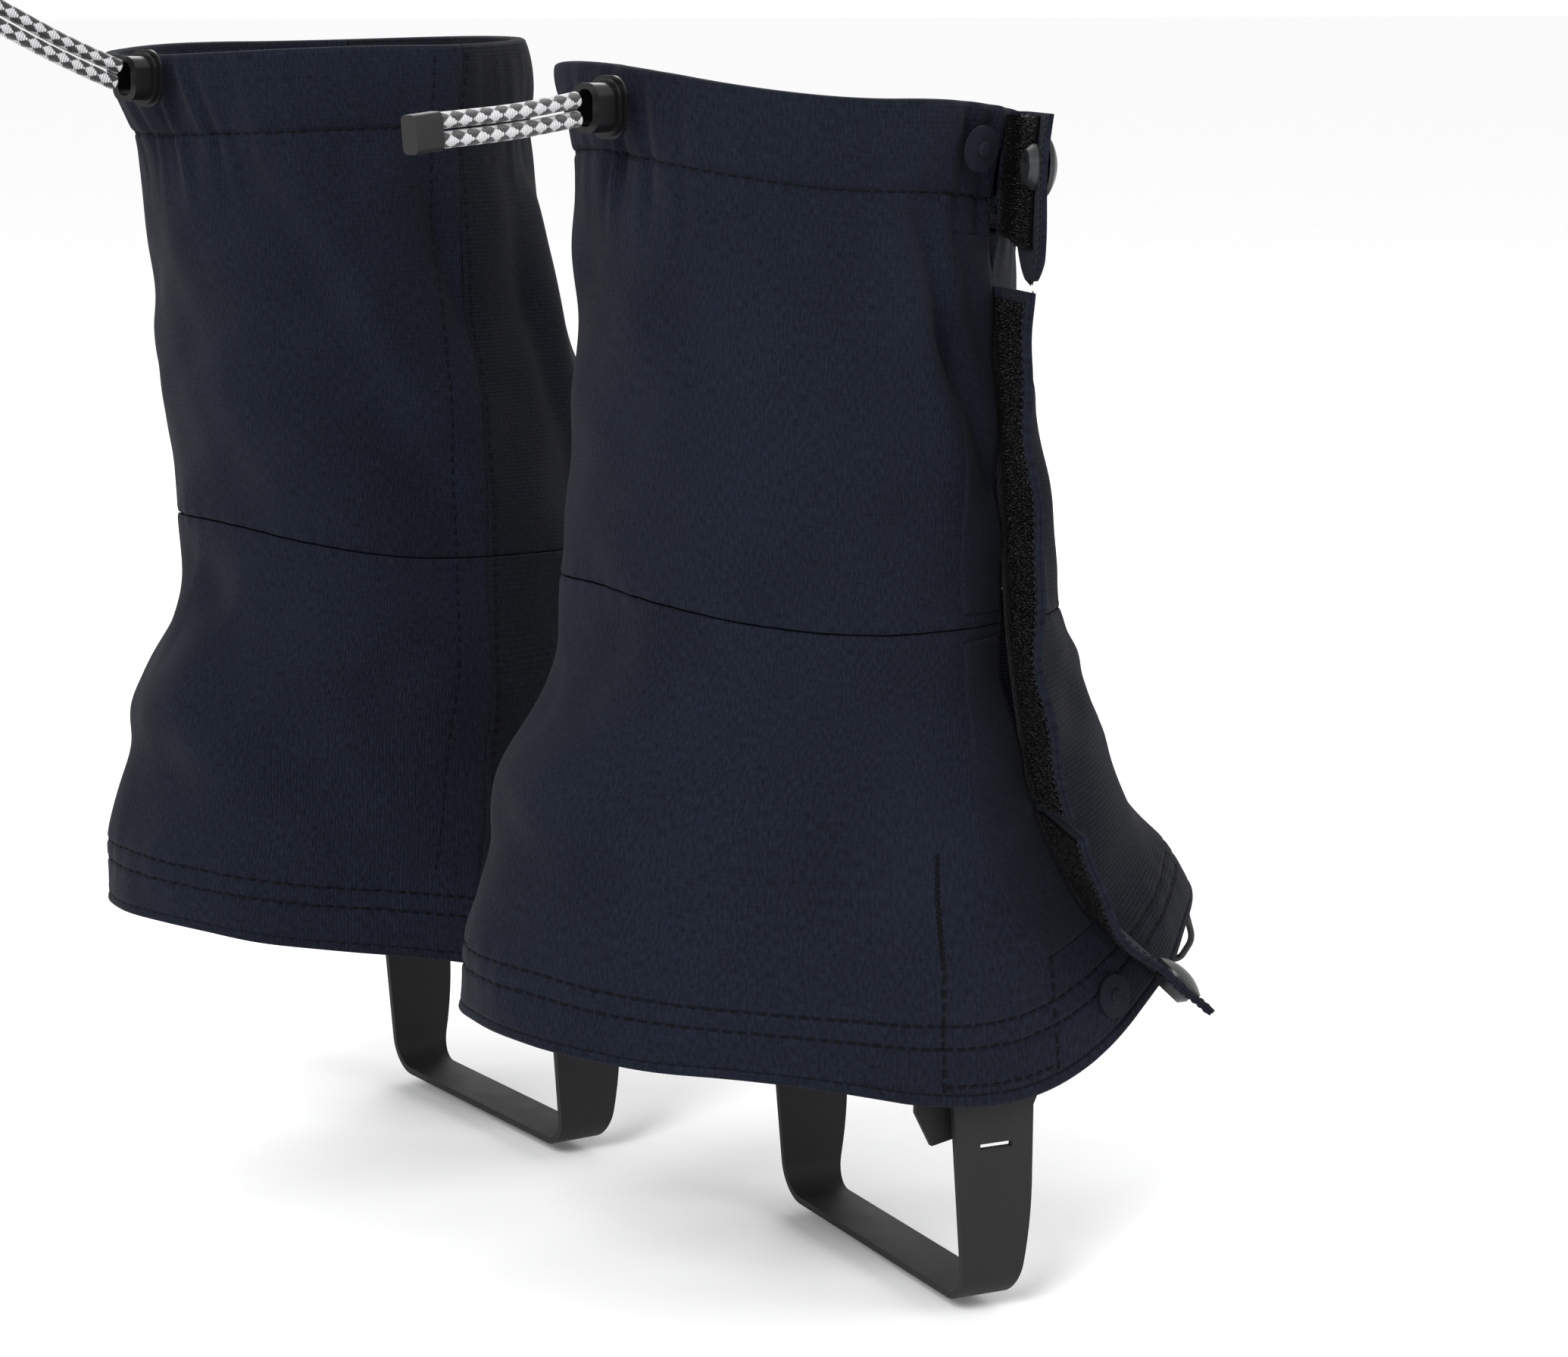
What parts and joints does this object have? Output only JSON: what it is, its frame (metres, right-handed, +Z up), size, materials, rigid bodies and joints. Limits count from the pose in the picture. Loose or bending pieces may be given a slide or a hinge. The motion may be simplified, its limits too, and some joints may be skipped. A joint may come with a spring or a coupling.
{
  "type": "trail gaiters",
  "caption": "Pair of short trail gaiters: stretch cloth leg tubes with a drawcord top, hook and loop front closure with snaps, and a rubber instep strap",
  "frame": {"origin": "on the ground under the middle of the right leg, where the right shoe stands", "axes": "+X to the toes, +Y to the wearer's left, +Z up"},
  "size_m": [0.2681, 0.2849, 0.2972],
  "materials": {
    "navy_cloth": "stretch woven nylon, very dark navy, matte with a faint crepe texture",
    "ribbed_cloth": "stretch woven nylon, charcoal navy with fine horizontal ribs",
    "seam_tape": "bonded knit seam tape",
    "loop_strip": "brushed loop band in the colour of the cloth",
    "hook_strip": "black hook strip with glinting filaments",
    "snap_metal": "navy enamelled brass stud",
    "snap_cap": "gunmetal enamelled domed cap",
    "drawcord": "braided elastic, white and black checks",
    "black_plastic": "moulded black acetal",
    "clip_plastic": "moulded dark grey nylon",
    "strap_rubber": "matte charcoal elastomer",
    "black_webbing": "narrow nylon webbing",
    "hook_metal": "black coated steel wire"
  },
  "bodies": {
    "right_gaiter": {"right_hem_main": "navy_cloth", "right_hem_front": "ribbed_cloth", "right_lower_panel_main": "navy_cloth", "right_lower_panel_front": "ribbed_cloth", "right_upper_panel_main": "navy_cloth", "right_upper_panel_front": "ribbed_cloth", "right_tunnel_main": "navy_cloth", "right_tunnel_front": "ribbed_cloth", "right_seam_tape": "seam_tape", "right_loop_strips": "loop_strip", "right_snap_studs": "snap_metal", "right_drawcord": "drawcord", "right_cord_lock": "black_plastic", "right_lock_washer": "black_plastic", "right_strap_anchors": "strap_rubber", "right_strap_studs": "black_plastic", "right_hook_tab": "black_webbing"},
    "right_top_tab": {"right_top_tab": "navy_cloth", "right_top_tab_strip": "hook_strip", "right_top_snap": "snap_cap"},
    "right_upper_flap": {"right_upper_flap": "navy_cloth", "right_upper_hook_strip": "hook_strip"},
    "right_lower_flap": {"right_lower_flap": "navy_cloth", "right_lower_hook_strip": "hook_strip", "right_bottom_snap": "snap_cap"},
    "right_cord_tail": {"right_tail_cord_upper": "drawcord", "right_tail_cord_lower": "drawcord", "right_cord_clip": "clip_plastic"},
    "right_strap": {"right_strap": "strap_rubber"},
    "right_lace_hook": {"right_lace_hook": "hook_metal"},
    "left_gaiter": {"left_hem_main": "navy_cloth", "left_hem_front": "ribbed_cloth", "left_lower_panel_main": "navy_cloth", "left_lower_panel_front": "ribbed_cloth", "left_upper_panel_main": "navy_cloth", "left_upper_panel_front": "ribbed_cloth", "left_tunnel_main": "navy_cloth", "left_tunnel_front": "ribbed_cloth", "left_seam_tape": "seam_tape", "left_loop_strips": "loop_strip", "left_snap_studs": "snap_metal", "left_drawcord": "drawcord", "left_cord_lock": "black_plastic", "left_lock_washer": "black_plastic", "left_strap_anchors": "strap_rubber", "left_strap_studs": "black_plastic", "left_hook_tab": "black_webbing"},
    "left_top_tab": {"left_top_tab": "navy_cloth", "left_top_tab_strip": "hook_strip", "left_top_snap": "snap_cap"},
    "left_upper_flap": {"left_upper_flap": "navy_cloth", "left_upper_hook_strip": "hook_strip"},
    "left_lower_flap": {"left_lower_flap": "navy_cloth", "left_lower_hook_strip": "hook_strip", "left_bottom_snap": "snap_cap"},
    "left_cord_tail": {"left_tail_cord_upper": "drawcord", "left_tail_cord_lower": "drawcord", "left_cord_clip": "clip_plastic"},
    "left_strap": {"left_strap": "strap_rubber"},
    "left_lace_hook": {"left_lace_hook": "hook_metal"}
  },
  "joints": [
    {"name": "stance", "type": "slide", "parent": "right_gaiter", "child": "left_gaiter", "axis": [0, 1, 0], "range_m": [-0.02, 0.12]},
    {"name": "right_top_tab_turn", "type": "hinge", "parent": "right_gaiter", "child": "right_top_tab", "pos_m": [0.03036, -0.04656, 0.25501], "axis": [0.0556, -0.0128, 0.9984], "range_deg": [-40, 45]},
    {"name": "right_upper_flap_turn", "type": "hinge", "parent": "right_gaiter", "child": "right_upper_flap", "pos_m": [0.03013, -0.04454, 0.17406], "axis": [-0.0803, 0.0315, 0.9963], "range_deg": [-48, 30]},
    {"name": "right_lower_flap_turn", "type": "hinge", "parent": "right_gaiter", "child": "right_lower_flap", "pos_m": [0.05532, -0.04401, 0.0885], "axis": [-0.6411, -0.1367, 0.7552], "range_deg": [-45, 12]},
    {"name": "right_cord_tail_turn", "type": "hinge", "parent": "right_gaiter", "child": "right_cord_tail", "pos_m": [-0.06109, -0.0213, 0.27262], "axis": [-0.3789, 0.9254, 0], "range_deg": [-28, 28], "stiffness_Nm_per_rad": 0.02},
    {"name": "right_strap_turn", "type": "hinge", "parent": "right_gaiter", "child": "right_strap", "pos_m": [0.026, 0, 0.0665], "axis": [0, -1, 0], "range_deg": [-22, 18]},
    {"name": "right_lace_hook_turn", "type": "hinge", "parent": "right_gaiter", "child": "right_lace_hook", "pos_m": [0.099, 0, 0.0815], "axis": [0, -1, 0], "range_deg": [-25, 40]},
    {"name": "left_top_tab_turn", "type": "hinge", "parent": "left_gaiter", "child": "left_top_tab", "pos_m": [-0.03455, 0.19731, 0.26471], "axis": [0.0831, 0.0302, -0.9961], "range_deg": [-40, 45]},
    {"name": "left_upper_flap_turn", "type": "hinge", "parent": "left_gaiter", "child": "left_upper_flap", "pos_m": [-0.02126, 0.19652, 0.17319], "axis": [0.1847, 0.0515, -0.9814], "range_deg": [-48, 30]},
    {"name": "left_lower_flap_turn", "type": "hinge", "parent": "left_gaiter", "child": "left_lower_flap", "pos_m": [0.00855, 0.19943, 0.0885], "axis": [0.653, -0.0575, -0.7552], "range_deg": [-45, 12]},
    {"name": "left_cord_tail_turn", "type": "hinge", "parent": "left_gaiter", "child": "left_cord_tail", "pos_m": [-0.12013, 0.11989, 0.27674], "axis": [-0.361, 0.9326, 0], "range_deg": [-36, 10], "stiffness_Nm_per_rad": 0.02},
    {"name": "left_strap_turn", "type": "hinge", "parent": "left_gaiter", "child": "left_strap", "pos_m": [-0.01519, 0.15217, 0.0665], "axis": [0.1219, -0.9925, 0], "range_deg": [-22, 18]},
    {"name": "left_lace_hook_turn", "type": "hinge", "parent": "left_gaiter", "child": "left_lace_hook", "pos_m": [0.05726, 0.16107, 0.0815], "axis": [0.1219, -0.9925, 0], "range_deg": [-25, 40]}
  ]
}
